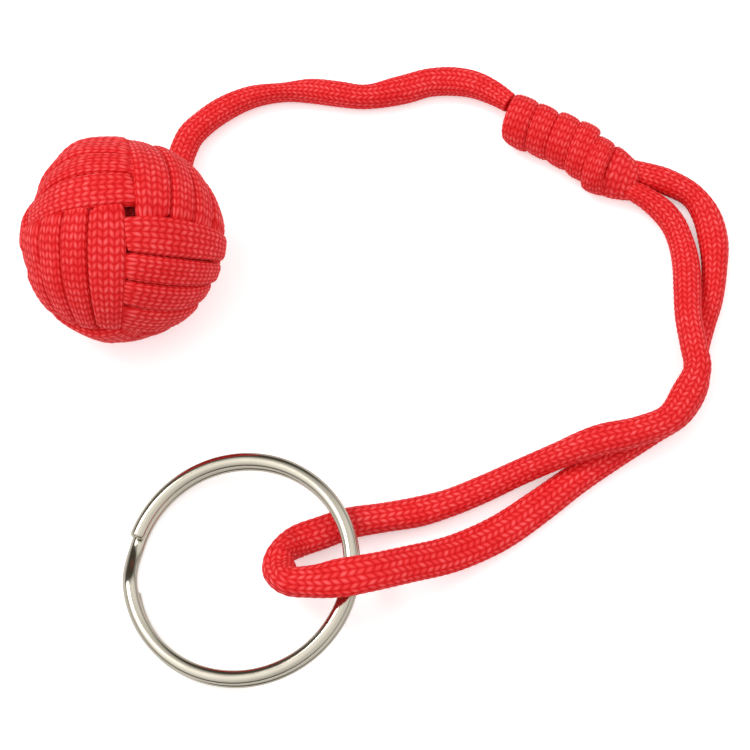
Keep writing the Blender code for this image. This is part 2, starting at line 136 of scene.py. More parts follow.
def tube(name, points, uv, surface):
    """Closed mesh through a grid of cross-sections (row, side, 3), each end shut by a fan.

    uv holds each row's second coordinate and each side's first one, with one more side than
    the grid has, so that the map doesn't fold back at the seam."""
    rows, sides = points.shape[:2]
    here = np.arange(rows * sides).reshape(rows, sides)
    beside = np.roll(here, -1, axis=1)
    quads = np.stack([here[:-1], beside[:-1], beside[1:], here[1:]], axis=-1).reshape(-1, 4)
    first = np.stack([np.full(sides, rows * sides), beside[0], here[0]], axis=-1)
    last = np.stack([np.full(sides, rows * sides + 1), here[-1], beside[-1]], axis=-1)
    corners = np.concatenate([quads.ravel(), first.ravel(), last.ravel()])
    sizes = np.concatenate([np.full(len(quads), 4), np.full(2 * sides, 3)])
    mesh = bpy.data.meshes.new(name)
    mesh.vertices.add(rows * sides + 2)
    flat = np.concatenate([points.reshape(-1, 3), points[0].mean(axis=0)[None],
                           points[-1].mean(axis=0)[None]])
    mesh.vertices.foreach_set("co", flat.ravel())
    mesh.loops.add(len(corners))
    mesh.loops.foreach_set("vertex_index", corners.astype(np.int32))
    mesh.polygons.add(len(sizes))
    starts = np.concatenate([[0], np.cumsum(sizes)[:-1]])
    mesh.polygons.foreach_set("loop_start", starts.astype(np.int32))
    mesh.update(calc_edges=True)
    along, around = uv
    u = np.stack([around[:-1], around[1:], around[1:], around[:-1]], axis=-1)
    u = np.broadcast_to(u[None], (rows - 1, sides, 4))
    v = np.stack([along[:-1], along[:-1], along[1:], along[1:]], axis=-1)
    v = np.broadcast_to(v[:, None], (rows - 1, sides, 4))
    ends = np.zeros((2 * sides * 3, 2))
    ends[sides * 3:, 1] = along[-1]
    places = np.concatenate([np.stack([u, v], axis=-1).reshape(-1, 2), ends])
    mesh.uv_layers.new(name="braid").data.foreach_set("uv", places.ravel())
    mesh.materials.append(surface)
    mesh.shade_smooth()
    mesh.validate()
    made = bpy.data.objects.new(name, mesh)
    bpy.context.collection.objects.link(made)
    return made


def signed(values, power):
    """Values raised to a power, each with the sign that it had."""
    return np.sign(values) * np.abs(values) ** power


def braided(name, path, outward, half_widths, half_heights, pitches, surface, spin=0.0,
            hidden=None, floor=None, fullness=CORD_FULLNESS):
    """Braided cord along a path of fine points.

    A cross-section is a superellipse, |x/a|^n + |y/b|^n = 1, with its y axis near outward. The
    braid's columns divide its girth evenly, and turn round it spin times over the length. Its
    rows zigzag round it, up one column of the braid and down the next by the slope times a
    column's width, so that each cell of the grid of columns and rows is one slanted grain of the
    chevrons. A grain stands proud by a half sine across its column, times a quarter and three
    quarters of a half sine along it, both sines raised to a power. Where hidden is true the rows
    are a grain apart."""
    distance = walked(path)
    steps = np.diff(distance) / ((pitches[1:] + pitches[:-1]) / 2)
    phase = np.concatenate([[0.0], np.cumsum(steps)])
    grains = int(phase[-1])
    phase = phase * grains / phase[-1]
    rows = np.arange(grains * ROW_SAMPLES + 1) / ROW_SAMPLES
    if hidden is not None:
        covered = np.interp(rows, phase, hidden.astype(float)) > 0.99
        rows = rows[~covered | (np.arange(len(rows)) % ROW_SAMPLES == 0)]
    along = unit(np.gradient(path, axis=0))
    across = unit(np.cross(outward, along))
    upward = np.cross(along, across)
    column = np.arange(BRAID_COLUMNS * SIDE_SAMPLES) / SIDE_SAMPLES
    zigzag = np.abs((column + 1) % 2 - 1)
    power = 2 / fullness
    angles = np.radians(np.linspace(0, 360, 1441))
    girth = walked(np.stack([signed(np.cos(angles), power) * np.median(half_widths),
                             signed(np.sin(angles), power) * np.median(half_heights)], axis=-1))
    ends = np.clip(np.minimum(rows, rows[-1] - rows), 0, 1)
    climb = BRAID_SLOPE * girth[-1] / BRAID_COLUMNS
    place = np.interp(rows, phase, distance)[:, None] + climb * ends[:, None] * (zigzag - 0.5)

    def at(values):
        if values.ndim == 1:
            return np.interp(place, distance, values)
        return np.stack([np.interp(place, distance, v) for v in values.T], axis=-1)

    turned = column / BRAID_COLUMNS + spin * place / distance[-1]
    turned = np.interp(turned % 1, girth / girth[-1], angles)
    cosine, sine = np.cos(turned), np.sin(turned)
    wide, high = at(half_widths), at(half_heights)
    x = wide * signed(cosine, power)
    y = high * signed(sine, power)
    normal = unit(np.stack([signed(cosine, 2 - power) / wide, signed(sine, 2 - power) / high],
                           axis=-1))
    relief = (np.sin(math.pi * (column % 1))[None] ** 0.6
              * (0.25 + 0.75 * np.sin(math.pi * (rows % 1))[:, None] ** 0.8))
    x = x + normal[..., 0] * BRAID_DEPTH * (relief - 1)
    y = y + normal[..., 1] * BRAID_DEPTH * (relief - 1)
    points = at(path) + at(across) * x[..., None] + at(upward) * y[..., None]
    if floor is not None:
        points[..., 2] = np.maximum(points[..., 2], floor)
    around = np.arange(BRAID_COLUMNS * SIDE_SAMPLES + 1) / SIDE_SAMPLES
    return tube(name, points, (rows, around), surface)


class Wire:
    """An output socket in a material. Arithmetic with other wires or numbers adds Math nodes."""

    def __init__(self, tree, socket):
        self.tree = tree
        self.socket = socket

    def node(self, kind, settings=(), inputs=(), output=0):
        """Add a node of a type: its settings first, then a number or wire for each socket."""
        made = self.tree.nodes.new(kind)
        for name, value in dict(settings).items():
            setattr(made, name, value)
        for name, value in dict(inputs).items():
            if isinstance(value, Wire):
                self.tree.links.new(value.socket, made.inputs[name])
            else:
                made.inputs[name].default_value = value
        return Wire(self.tree, made.outputs[output])

    def math(self, operation, *values):
        """A Math node on this wire and other values."""
        return self.node("ShaderNodeMath", {"operation": operation},
                         enumerate((self, *values)))

    def __add__(self, other):
        return self.math("ADD", other)

    def __sub__(self, other):
        return self.math("SUBTRACT", other)

    def __rsub__(self, other):
        return self * -1 + other

    def __mul__(self, other):
        return self.math("MULTIPLY", other)

    def __pow__(self, other):
        return self.math("POWER", other)

    __radd__ = __add__
    __rmul__ = __mul__

    def between(self, first, second):
        """Colour that goes from first to second as this wire goes from 0 to 1."""
        return self.node("ShaderNodeMix", {"data_type": "RGBA"}, {0: self, 6: first, 7: second},
                         output=2)


def blank(name):
    """A new material's Principled node and a wire in its tree to start from."""
    made = bpy.data.materials.new(name)
    made.use_nodes = True
    shader = made.node_tree.nodes["Principled BSDF"]
    return made, shader, Wire(made.node_tree, None)


def colour(values):
    """Linear red, green and blue with full alpha."""
    return (*values, 1.0)


def paracord():
    """Red nylon: each cell of the braid map is a grain, pale on its back and deep red round its
    rim, which is painted light and shade over its relief. Chance, filaments along it and broad
    clouds say how pale the painted highlight on the back is, and the back has a soft gloss."""
    made, shader, start = blank("red_paracord")
    place = start.node("ShaderNodeUVMap", {"uv_map": "braid"})
    around = start.node("ShaderNodeSeparateXYZ", (), {0: place})
    along = Wire(around.tree, around.socket.node.outputs[1])
    back = (around * math.pi).math("SINE").math("ABSOLUTE") ** 0.7
    side = (along * math.pi).math("SINE").math("ABSOLUTE") ** 0.8
    grain = back * side
    cell = {0: around.math("FLOOR"), 1: along.math("FLOOR")}
    cell = start.node("ShaderNodeCombineXYZ", (), cell)
    chance = start.node("ShaderNodeTexWhiteNoise", {"noise_dimensions": "2D"}, {"Vector": cell})
    thread = {0: around * FILAMENTS[0], 1: along * FILAMENTS[1]}
    thread = start.node("ShaderNodeCombineXYZ", (), thread)
    thread = start.node("ShaderNodeTexNoise", (), {"Vector": thread, "Scale": 1.0, "Detail": 2.0})
    coord = start.node("ShaderNodeTexCoord", (), (), output="Object")
    cloud = start.node("ShaderNodeTexNoise", (), {"Vector": coord, "Scale": CLOUDS, "Detail": 3.0})
    # Painted shade deepens each grain's rim and the crest lightens its back. Chance and clouds also
    # vary the tone at random.
    shade_and_tone = (grain * 1.05 + cloud * 0.45 + chance * 0.2 - 0.25).math("MAXIMUM", 0.0)
    red = shade_and_tone.math("MINIMUM", 1.0).between(colour(RED_PAINTED_SHADE), colour(RED_CREST))
    # Painted highlight: pale pink on the backs of grains, where chance, filaments and clouds allow
    # it.
    painted_highlight = chance * 0.9 + thread * 0.5 + cloud * 0.9 - 0.8
    painted_highlight = grain ** 3.0 * painted_highlight.math("MAXIMUM", 0.0)
    red = painted_highlight.between(red, colour(RED_PAINTED_HIGHLIGHT))
    height = grain * 0.6 + thread * 0.4
    bump = start.node("ShaderNodeBump", (), {"Strength": 0.3, "Distance": 0.00008,
                                             "Height": height})
    tree = made.node_tree
    tree.links.new(red.socket, shader.inputs["Base Color"])
    tree.links.new((0.66 - painted_highlight * 0.25).socket, shader.inputs["Roughness"])
    tree.links.new((grain * grain * 0.5).socket, shader.inputs["Coat Weight"])
    tree.links.new(bump.socket, shader.inputs["Normal"])
    shader.inputs["Specular IOR Level"].default_value = 0.1
    shader.inputs["Coat Roughness"].default_value = 0.4
    shader.inputs["Sheen Weight"].default_value = 0.03
    shader.inputs["Sheen Roughness"].default_value = 0.45
    shader.inputs["Sheen Tint"].default_value = colour(SHEEN_RED)
    return made


def table_cord(name, stations, pitches, surface, spin):
    """A limp cord on the table, and its path. Where it shows wide it is flat, with its underside
    down, and it is pressed to the mouth's height at both ends, where it goes into a knot."""
    fine = smooth_path(stations)
    half_widths = fine[:, 3] / 2
    half = CORD_DIAMETER / 2
    half_heights = np.minimum(half + CORD_FLATTENING * (half - half_widths), half)
    mouth = MOUTH_HEIGHT / 2
    from_end = np.minimum(walked(fine[:, :3]), walked(fine[::-1, :3])[::-1])
    held = np.minimum(1, from_end / MOUTH_RUN)
    half_heights = mouth + (half_heights - mouth) * eased(held)
    path = fine[:, :3].copy()
    path[:, 2] += (half_heights - half) * eased(held)
    outward = np.zeros_like(path) + (0.0, 0.0, 1.0)
    share = walked(path) / walked(path)[-1]
    pitches = np.interp(share, *np.array(pitches).T)
    made = braided(name, path, outward, half_widths, half_heights, pitches, surface, spin=spin)
    return made, path


red_paracord = paracord()
lead, lead_path = table_cord("lead", LEAD_STATIONS, ((0, LEAD_PITCH), (1, LEAD_PITCH)),
                             red_paracord, LEAD_SPIN)
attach(lead, "keychain")
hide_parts("lead_cord")


# Doubled loop
# The same paracord leaves the wrapped knot twice. Both legs lie side by side, cross at the right
# bend, and their bight goes through the split ring: one leg over its wire and the other under.
LOOP_STATIONS = (
    (0.0384, 0.0307, 0.0031, 0.0030), (0.0414, 0.0299, 0.0030, 0.0034),
    (0.0445, 0.0288, 0.0027, 0.0036), (0.0477, 0.0270, 0.0024, 0.0034),
    (0.0497, 0.0240, 0.0021, 0.0040), (0.0505, 0.0207, 0.0020, 0.0042),
    (0.0505, 0.0159, 0.0020, 0.0036), (0.0499, 0.0115, 0.0020, 0.0033),
    (0.0486, 0.0074, 0.0020, 0.0033), (0.0476, 0.0038, 0.0020, 0.0034),
    (0.0473, -0.0008, 0.0020, 0.0038), (0.0452, -0.0047, 0.0020, 0.0038),
    (0.0411, -0.0075, 0.0020, 0.0039), (0.0356, -0.0110, 0.0020, 0.0042),
    (0.0307, -0.0144, 0.0020, 0.0043), (0.0258, -0.0181, 0.0020, 0.0047),
    (0.0203, -0.0220, 0.0024, 0.0050), (0.0142, -0.0254, 0.0044, 0.0051),
    (0.0076, -0.0281, 0.0079, 0.0051), (0.0026, -0.0299, 0.0103, 0.0052),
    (-0.0010, -0.0306, 0.0105, 0.0053), (-0.0047, -0.0309, 0.0094, 0.0044),
    (-0.0077, -0.0305, 0.0082, 0.0040), (-0.0091, -0.0283, 0.0063, 0.0046),
    (-0.0089, -0.0256, 0.0044, 0.0037), (-0.0070, -0.0237, 0.0033, 0.0044),
    (-0.0036, -0.0222, 0.0028, 0.0045), (-0.0001, -0.0209, 0.0026, 0.0043),
    (0.0048, -0.0200, 0.0024, 0.0040), (0.0096, -0.0190, 0.0020, 0.0041),
    (0.0131, -0.0180, 0.0020, 0.0038), (0.0177, -0.0161, 0.0020, 0.0037),
    (0.0231, -0.0137, 0.0026, 0.0035), (0.0284, -0.0119, 0.0045, 0.0036),
    (0.0338, -0.0102, 0.0060, 0.0043), (0.0391, -0.0090, 0.0062, 0.0040),
    (0.0432, -0.0072, 0.0062, 0.0040), (0.0457, -0.0036, 0.0062, 0.0044),
    (0.0472, 0.0000, 0.0062, 0.0038), (0.0468, 0.0032, 0.0061, 0.0037),
    (0.0463, 0.0073, 0.0057, 0.0037), (0.0464, 0.0119, 0.0046, 0.0039),
    (0.0465, 0.0160, 0.0033, 0.0039), (0.0459, 0.0203, 0.0023, 0.0036),
    (0.0450, 0.0227, 0.0023, 0.0035), (0.0435, 0.0246, 0.0026, 0.0034),
    (0.0418, 0.0260, 0.0030, 0.0031), (0.0390, 0.0277, 0.0031, 0.0028),
)
# Shares of the loop's length and the length of a grain there.
LOOP_PITCHES = ((0, 0.00088), (0.25, 0.00092), (0.4, 0.00106), (0.72, 0.00104), (0.85, 0.00086),
                (1, 0.00088))
LOOP_SPIN = 0.13
loop, loop_path = table_cord("loop", LOOP_STATIONS, LOOP_PITCHES, red_paracord, LOOP_SPIN)
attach(loop, "keychain")
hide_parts("loop_cord")


# Ball of cord
# The winding of the monkey's fist: one flattened paracord goes four times round the same course
# over the steel ball, over and under itself by turns, and its end becomes the lead. The ball's
# surface is divided into eight patches, each crossed by four strands side by side.
FIST_POLE = (0.173, -0.102, 0.980)
FIST_TWIST = 1.5
BIGHT_LATITUDE = 13.8
OVER_RADIUS = 0.0128
UNDER_RADIUS = 0.0106
OVER_HALF_HEIGHT = 0.00105
UNDER_HALF_HEIGHT = 0.0008
FIST_FULLNESS = 3.4
FIST_PITCH = 0.00102
TABLE_TOUCH = 0.00003
PASSES = 4
LEGS_PER_PASS = 16
LEG_SAMPLES = 64
FIRST_LEG = 3
START_LONGITUDE = 180
# A leg's patch: where its right edge starts and ends, and then its left edge.
LEG_CORNERS = ((0, 45, "north", 90), (45, "south", 90, 135),
               ("south", 225, 135, 180), (225, 270, 180, "north"))
# Edges of the four strands across a patch, from its left side at 1 to its right side at -1. The
# two outer ones draw back from a pole by the bite, over some degrees.
STRAND_EDGES = (0.95, 0.37, -0.06, -0.5, -1.06)
POLE_BITE = 0.03
POLE_REACH = 8.0
# Strands keep this share of their spread where they run under others, and get the rest back as
# they come up by the given depth. Below the hidden level they are out of sight.
UNDER_SPREAD = 0.7
UNDER_DEPTH = 0.6
HIDDEN_LEVEL = -0.8
# Where the last leg of a pass starts to change lanes, and over what share of its length.
LANE_CHANGE_START = 0.02
LANE_CHANGE_SPAN = 0.9
# Samples over which the path and the outward directions are smoothed.
PATH_SMEAR = 3
OUTWARD_SMEAR = 8
# Degrees in which a strand changes level on either side of a leg's end, and how much sooner it
# comes up beside the north pole, so that it is on top from the patch's edge on.
DIVE_ANGLE = 4.0
EARLY_RISE = 4.0
# Each lump's place round the ball's outline in degrees, its height there and its width in degrees.
FIST_LUMPS = ((7, 0.0003, 13), (349, 0.0008, 10), (75, -0.0005, 12), (113, 0.0006, 11),
              (156, -0.0011, 16), (197, -0.0006, 9), (262, 0.0004, 12), (315, 0.0001, 10))
START_REACH = 20.0
START_RADIUS = 0.0100
START_HALF_WIDTH = 0.0014
START_HALF_HEIGHT = 0.0004
START_SAMPLES = 120
TAIL_SHARE = 0.17
TAIL_TURN = 11.5
TAIL_RUN = 0.0078
TAIL_HEIGHT = 0.0018
TAIL_DROP = 0.6
TAIL_HALF_WIDTH = 0.00165
TAIL_SAMPLES = 48
POLES = {"north": np.array([0.0, 0.0, 1.0]), "south": np.array([0.0, 0.0, -1.0])}


def bight_corner(longitude):
    """Direction of the corner where three patches meet, north or south of the middle by turns."""
    latitude = math.radians(BIGHT_LATITUDE if longitude % 90 == 0 else -BIGHT_LATITUDE)
    turn = math.radians(longitude)
    return np.array([math.cos(latitude) * math.cos(turn), math.cos(latitude) * math.sin(turn),
                     math.sin(latitude)])


def great_arc(start, end, share):
    """Directions at shares of the great circle arc between two directions, by weighted sines."""
    angle = np.arccos(np.clip((start * end).sum(axis=-1, keepdims=True), -1, 1))
    share = np.reshape(share, (-1, 1))
    return (np.sin((1 - share) * angle) * start + np.sin(share * angle) * end) / np.sin(angle)


def leg_directions(leg, across, along):
    """Directions on a patch, at shares across it (-1 to 1) and along it (0 to 1): arcs between
    points of its right and left edges, which are arcs too."""
    start = START_LONGITUDE + 270 * (leg // 4)
    corners = [POLES[c] if c in POLES else bight_corner(start + c) for c in LEG_CORNERS[leg % 4]]
    right = great_arc(corners[0], corners[1], along)
    left = great_arc(corners[2], corners[3], along)
    return great_arc(right, left, (across + 1) / 2)


def leg_course(turn, leg):
    """Centres round the origin, half widths and levels (-1 under to 1 over) on one leg. A level is
    the sine of how far the strand has come up or down. The last leg of a pass changes lanes."""
    over = 1 if leg % 2 == 0 else -1
    t = np.arange(LEG_SAMPLES) / LEG_SAMPLES
    edges = np.array(STRAND_EDGES[turn:turn + 2])[:, None] + np.zeros(LEG_SAMPLES)
    if turn in (0, PASSES - 1):
        side = turn // (PASSES - 1)
        rim = leg_directions(leg, np.full(LEG_SAMPLES, 1.0 - 2 * side), t)
        from_pole = np.degrees(np.arccos(np.clip(np.abs(rim[:, 2]), 0, 1)))
        edges[side] -= (1 - 2 * side) * POLE_BITE * np.exp(-(from_pole / POLE_REACH) ** 2)
    lane = edges.mean(axis=0)
    share = edges[0] - edges[1]
    if leg == FIRST_LEG + LEGS_PER_PASS - 1 and turn < PASSES - 1:
        change = eased((t - LANE_CHANGE_START) / LANE_CHANGE_SPAN)
        lane += (sum(STRAND_EDGES[turn + 1:turn + 3]) / 2 - lane) * change
    ends = leg_directions(leg, lane[[0, -1]], np.array([0.0, 1.0]))
    arc = math.degrees(math.acos(ends[0] @ ends[1]))
    before = EARLY_RISE if leg % 4 == 0 else 0.0
    after = EARLY_RISE if leg % 4 == 3 else 0.0
    rise = np.minimum(t * arc + before, (1 - t) * arc - after) / DIVE_ANGLE
    level = over * np.sin(np.clip(rise, -1, 1) * math.pi / 2)
    spread = UNDER_SPREAD + (1 - UNDER_SPREAD) * eased((level + 1) / UNDER_DEPTH)
    nudge = 0.001
    inside = np.clip(t, nudge, 1 - nudge)
    forward = unit(leg_directions(leg, lane * spread, inside + nudge)
                   - leg_directions(leg, lane * spread, inside - nudge))
    sideways = (leg_directions(leg, (lane + nudge) * spread, t)
                - leg_directions(leg, (lane - nudge) * spread, t)) / (2 * nudge)
    radii = (OVER_RADIUS + UNDER_RADIUS) / 2 + (OVER_RADIUS - UNDER_RADIUS) / 2 * level
    half_widths = np.linalg.norm(np.cross(sideways, forward), axis=1) * share / 2 * radii
    return leg_directions(leg, lane * spread, t) * radii[:, None], half_widths, level


def fist_axes():
    """World directions of the winding's own axes as columns; the third is its pole."""
    pole = unit(np.array(FIST_POLE))
    first = unit(np.array([1.0, 0.0, 0.0]) - pole * pole[0])
    turn = math.radians(FIST_TWIST)
    second = np.cross(pole, first)
    return np.stack([first * math.cos(turn) + second * math.sin(turn),
                     second * math.cos(turn) - first * math.sin(turn), pole], axis=1)


def smeared(values, reach):
    """Running mean of a row of values, weighted by a bell curve that many samples wide."""
    weights = np.exp(-np.linspace(-2, 2, 4 * reach + 1) ** 2)
    weights /= weights.sum()
    padded = np.concatenate([np.repeat(values[:1], 2 * reach, axis=0), values,
                             np.repeat(values[-1:], 2 * reach, axis=0)])
    if values.ndim == 1:
        return np.convolve(padded, weights, mode="valid")
    return np.stack([np.convolve(v, weights, mode="valid") for v in padded.T], axis=-1)


def lumpy(path):
    """Path round the origin with the ball's lumps and dents: bell curves in the angle round the
    line of sight, weighted by the fourth power of the distance from that line."""
    tilt = math.radians(CAMERA_ELEVATION)
    directions = unit(path)
    right = directions[:, 0]
    up = directions[:, 1] * math.sin(tilt) + directions[:, 2] * math.cos(tilt)
    turn = np.degrees(np.arctan2(up, right))
    lift = np.zeros(len(path))
    for place, height, width in FIST_LUMPS:
        away = (turn - place + 180) % 360 - 180
        lift += height * np.exp(-(away / width) ** 2)
    return path + directions * (lift * (right ** 2 + up ** 2) ** 2)[:, None]


def fist_strand(centre):
    """Path, outward directions, half widths, half heights and levels of the whole winding, with
    the flat tail that leaves it below and runs into the lead."""
    legs = [leg_course(turn, leg) for turn in range(PASSES)
            for leg in range(FIRST_LEG, FIRST_LEG + LEGS_PER_PASS)]
    path, half_widths, level = (np.concatenate([leg[i] for leg in legs]) for i in range(3))
    kept = len(path) - round(LEG_SAMPLES * (1 - TAIL_SHARE))
    path = lumpy(path[:kept] @ fist_axes().T) + centre
    half_widths, level = half_widths[:kept], level[:kept]
    heading = path[-1] - path[-2]
    turn = math.atan2(heading[1], heading[0]) + math.radians(TAIL_TURN)
    share = np.arange(1, TAIL_SAMPLES + 1) / TAIL_SAMPLES
    tail = path[-1] + TAIL_RUN * share[:, None] * (math.cos(turn), math.sin(turn), 0.0)
    tail[:, 2] += (TAIL_HEIGHT - path[-1, 2]) * eased(share / TAIL_DROP)
    outward = np.vstack([unit(path - centre), np.zeros((TAIL_SAMPLES, 3)) + (0.0, 0.0, -1.0)])
    path = np.vstack([path, tail])
    half_widths = np.append(half_widths,
                            half_widths[-1] + (TAIL_HALF_WIDTH - half_widths[-1]) * share)
    level = np.append(level, np.ones(TAIL_SAMPLES))
    half_heights = (UNDER_HALF_HEIGHT
                    + (OVER_HALF_HEIGHT - UNDER_HALF_HEIGHT) * eased((level + 1) / 2))
    return (smeared(path, PATH_SMEAR), unit(smeared(outward, OUTWARD_SMEAR)),
            smeared(half_widths, PATH_SMEAR), half_heights, level)


low, high = (np.array(corner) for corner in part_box("core_ball"))
fist_centre = (low + high) / 2
path, outward, half_widths, half_heights, level = fist_strand(fist_centre)
for turn in range(PASSES):
    first = turn * LEGS_PER_PASS * LEG_SAMPLES
    last = first + LEGS_PER_PASS * LEG_SAMPLES + 2 if turn < PASSES - 1 else len(path)
    part = slice(first, last)
    winding = braided(f"fist_winding_{turn + 1}", path[part], outward[part], half_widths[part],
                      half_heights[part], np.full(len(path[part]), FIST_PITCH), red_paracord,
                      hidden=level[part] < HIDDEN_LEVEL, floor=TABLE_TOUCH, fullness=FIST_FULLNESS)
    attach(winding, "keychain")
    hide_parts("fist_winding")

# The strand's own start lies flat on the steel ball and crosses below the hole at the pole.
angle = np.radians(np.linspace(-START_REACH, START_REACH, START_SAMPLES))[:, None]
axes = fist_axes()
outward = axes[:, 2] * np.cos(angle) + axes[:, 0] * np.sin(angle)
shape = np.ones(len(angle))
start_strand = braided("fist_start", fist_centre + outward * START_RADIUS, outward,
                       shape * START_HALF_WIDTH, shape * START_HALF_HEIGHT, shape * FIST_PITCH,
                       red_paracord, fullness=FIST_FULLNESS)
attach(start_strand, "keychain")
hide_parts("fist_winding")


# Wrapped knot
# Six turns of the cord's own end, drawn tight round both strands that it gathers. The two
# strands run through it side by side, squeezed flat against each other.
KNOT_CENTRE = (0.03101, 0.03381, 0.0026)
KNOT_HEADING = -29.3
# Each wrap's reach along the knot, shift across it, radius, half width and lean in degrees.
WRAPS = (
    (-0.0083, 0.0001, 0.00281, 0.0019, -6.0), (-0.0049, 0.0004, 0.00275, 0.0017, 0.0),
    (-0.0016, 0.0005, 0.00290, 0.0017, 0.0), (0.0015, 0.0006, 0.00293, 0.0017, 0.0),
    (0.0045, -0.0007, 0.00310, 0.0015, 4.0), (0.0081, -0.0001, 0.0023, 0.0025, 19.0),
)
WRAP_HALF_HEIGHT = 0.0009
WRAP_END = 0.04
WRAP_SAMPLES = 1500
WRAP_FULLNESS = 2.7
WRAP_ADVANCE = 0.55
WRAP_GRAIN = 0.00085
STRAND_OFFSET = 0.0008
STRAND_HALF_WIDTH = 0.0007
STRAND_HALF_HEIGHT = 0.0013
STRAND_END = 0.0095
STRAND_SAMPLES = 200
TAIL_STRAND_START = -0.0090
heading = math.radians(KNOT_HEADING)
knot_along = np.array([math.cos(heading), math.sin(heading), 0.0])
knot_across = np.array([-math.sin(heading), math.cos(heading), 0.0])
knot_up = np.array([0.0, 0.0, 1.0])


def wrap_course():
    """Path, outward directions and half widths of the wraps' helix. From one wrap to the next each
    value changes under the barrel, where both ends stop too. Only the reach also goes on evenly."""
    turns = np.linspace(WRAP_END, len(WRAPS) - WRAP_END, WRAP_SAMPLES)
    angle = 2 * math.pi * turns
    outward = knot_across * np.sin(angle)[:, None] - knot_up * np.cos(angle)[:, None]
    values = np.array(WRAPS)
    place = np.clip(turns - 0.5, 0, len(values) - 1)
    last = np.minimum(place.astype(int), len(values) - 2)
    share = eased(place - last)[:, None]
    reach, shift, radius, half_width, lean = (values[last] * (1 - share)
                                              + values[last + 1] * share).T
    evenly = np.interp(turns - 0.5, np.arange(-1, len(values) + 1),
                       np.pad(values[:, 0], 1, mode="reflect", reflect_type="odd"))
    reach = evenly * WRAP_ADVANCE + reach * (1 - WRAP_ADVANCE)
    path = (np.array(KNOT_CENTRE) + knot_along * reach[:, None] + knot_across * shift[:, None]
            + knot_up * (radius - values[:, 2].min())[:, None] + outward * radius[:, None])
    lean = np.radians(lean)[:, None]
    return path, outward * np.cos(lean) + knot_along * np.sin(lean), half_width


path, outward, half_widths = wrap_course()
shape = np.ones(len(path))
wraps = braided("knot_wraps_cord", path, outward, half_widths,
                shape * WRAP_HALF_HEIGHT, shape * WRAP_GRAIN, red_paracord, floor=TABLE_TOUCH,
                fullness=WRAP_FULLNESS)
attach(wraps, "keychain")
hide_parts("knot_wraps")
for name, node, side, start in (("knot_standing", "knot_standing_strand", 1, -STRAND_END),
                                ("knot_tail", "knot_tail_strand", -1, TAIL_STRAND_START)):
    reach = np.linspace(start, STRAND_END, STRAND_SAMPLES)[:, None]
    path = np.array(KNOT_CENTRE) + knot_along * reach + knot_across * side * STRAND_OFFSET
    shape = np.ones(len(path))
    strand = braided(name, path, np.zeros_like(path) + knot_up, shape * STRAND_HALF_WIDTH,
                     shape * STRAND_HALF_HEIGHT, shape * WRAP_GRAIN, red_paracord)
    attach(strand, "keychain")
    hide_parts(node)


# Split ring
# Nickel-plated spring wire, rolled flat with round edges and coiled into two turns that lie
# close. A jog takes one turn over to the other, and the cut ends stop on either side of it.
RING_OUTER_DIAMETER = 0.032
RING_BAND = 0.0020
RING_WIRE_HEIGHT = 0.00125
RING_TURN_GAP = 0.0003
RING_PLACE = (-0.01424, -0.02773, 0.004096)
RING_TILT = 10.0
JOG_CENTRE = 175.0
JOG_SPAN = 24.0
RING_END_GAP = 2.0
RING_ROUNDNESS = 2.1
RING_SECTIONS = 900
RING_SIDES = 40
END_TRIM = 0.25
END_TRIM_SPAN = 1.2
NICKEL = (0.50, 0.46, 0.38)


def nickel():
    """Bright nickel plate, a little warm, with faint cloudy wear and fine hairlines."""
    made, shader, start = blank("nickel_plate")
    coord = start.node("ShaderNodeTexCoord", (), (), output="Object")
    cloud = start.node("ShaderNodeTexNoise", (), {"Vector": coord, "Scale": 350.0, "Detail": 4.0})
    hair = start.node("ShaderNodeTexNoise", (), {"Vector": coord, "Scale": 2600.0, "Detail": 2.0})
    tone = cloud.between(colour(tuple(c * 0.92 for c in NICKEL)),
                         colour(tuple(min(c * 1.08, 1) for c in NICKEL)))
    bump = start.node("ShaderNodeBump", (), {"Strength": 0.12, "Distance": 0.00002,
                                             "Height": cloud * 0.6 + hair * 0.4})
    tree = made.node_tree
    tree.links.new(tone.socket, shader.inputs["Base Color"])
    tree.links.new((cloud * 0.12 + 0.08).socket, shader.inputs["Roughness"])
    tree.links.new(bump.socket, shader.inputs["Normal"])
    shader.inputs["Metallic"].default_value = 1.0
    return made


def ring_points():
    """Cross-sections along the wire: a superellipse carried round a circle, which climbs by one
    wire height and the gap over the jog, then tilted about Y. Both ends are trimmed round."""
    begin = JOG_CENTRE + JOG_SPAN / 2 + RING_END_GAP
    end = JOG_CENTRE - JOG_SPAN / 2 + 720 - RING_END_GAP
    angle = np.linspace(begin, end, RING_SECTIONS)
    climb = eased((angle - (JOG_CENTRE + 360 - JOG_SPAN / 2)) / JOG_SPAN)
    rise = (RING_WIRE_HEIGHT + RING_TURN_GAP) * (climb - 0.5)
    side = np.arange(RING_SIDES) * 2 * math.pi / RING_SIDES
    power = 2 / RING_ROUNDNESS
    from_end = np.minimum(angle - begin, end - angle)
    trim = 1 - END_TRIM * (1 - eased(from_end / END_TRIM_SPAN))
    radial = RING_BAND / 2 * signed(np.cos(side), power)
    level = RING_WIRE_HEIGHT / 2 * signed(np.sin(side), power)
    radii = (RING_OUTER_DIAMETER - RING_BAND) / 2 + radial[None] * trim[:, None]
    heights = rise[:, None] + level[None] * trim[:, None]
    turned = np.radians(angle)[:, None]
    x, y = radii * np.cos(turned), radii * np.sin(turned)
    tilt = math.radians(-RING_TILT)
    placed = np.stack([x * math.cos(tilt) + heights * math.sin(tilt), y,
                       heights * math.cos(tilt) - x * math.sin(tilt)], axis=-1)
    return placed + np.array(RING_PLACE)


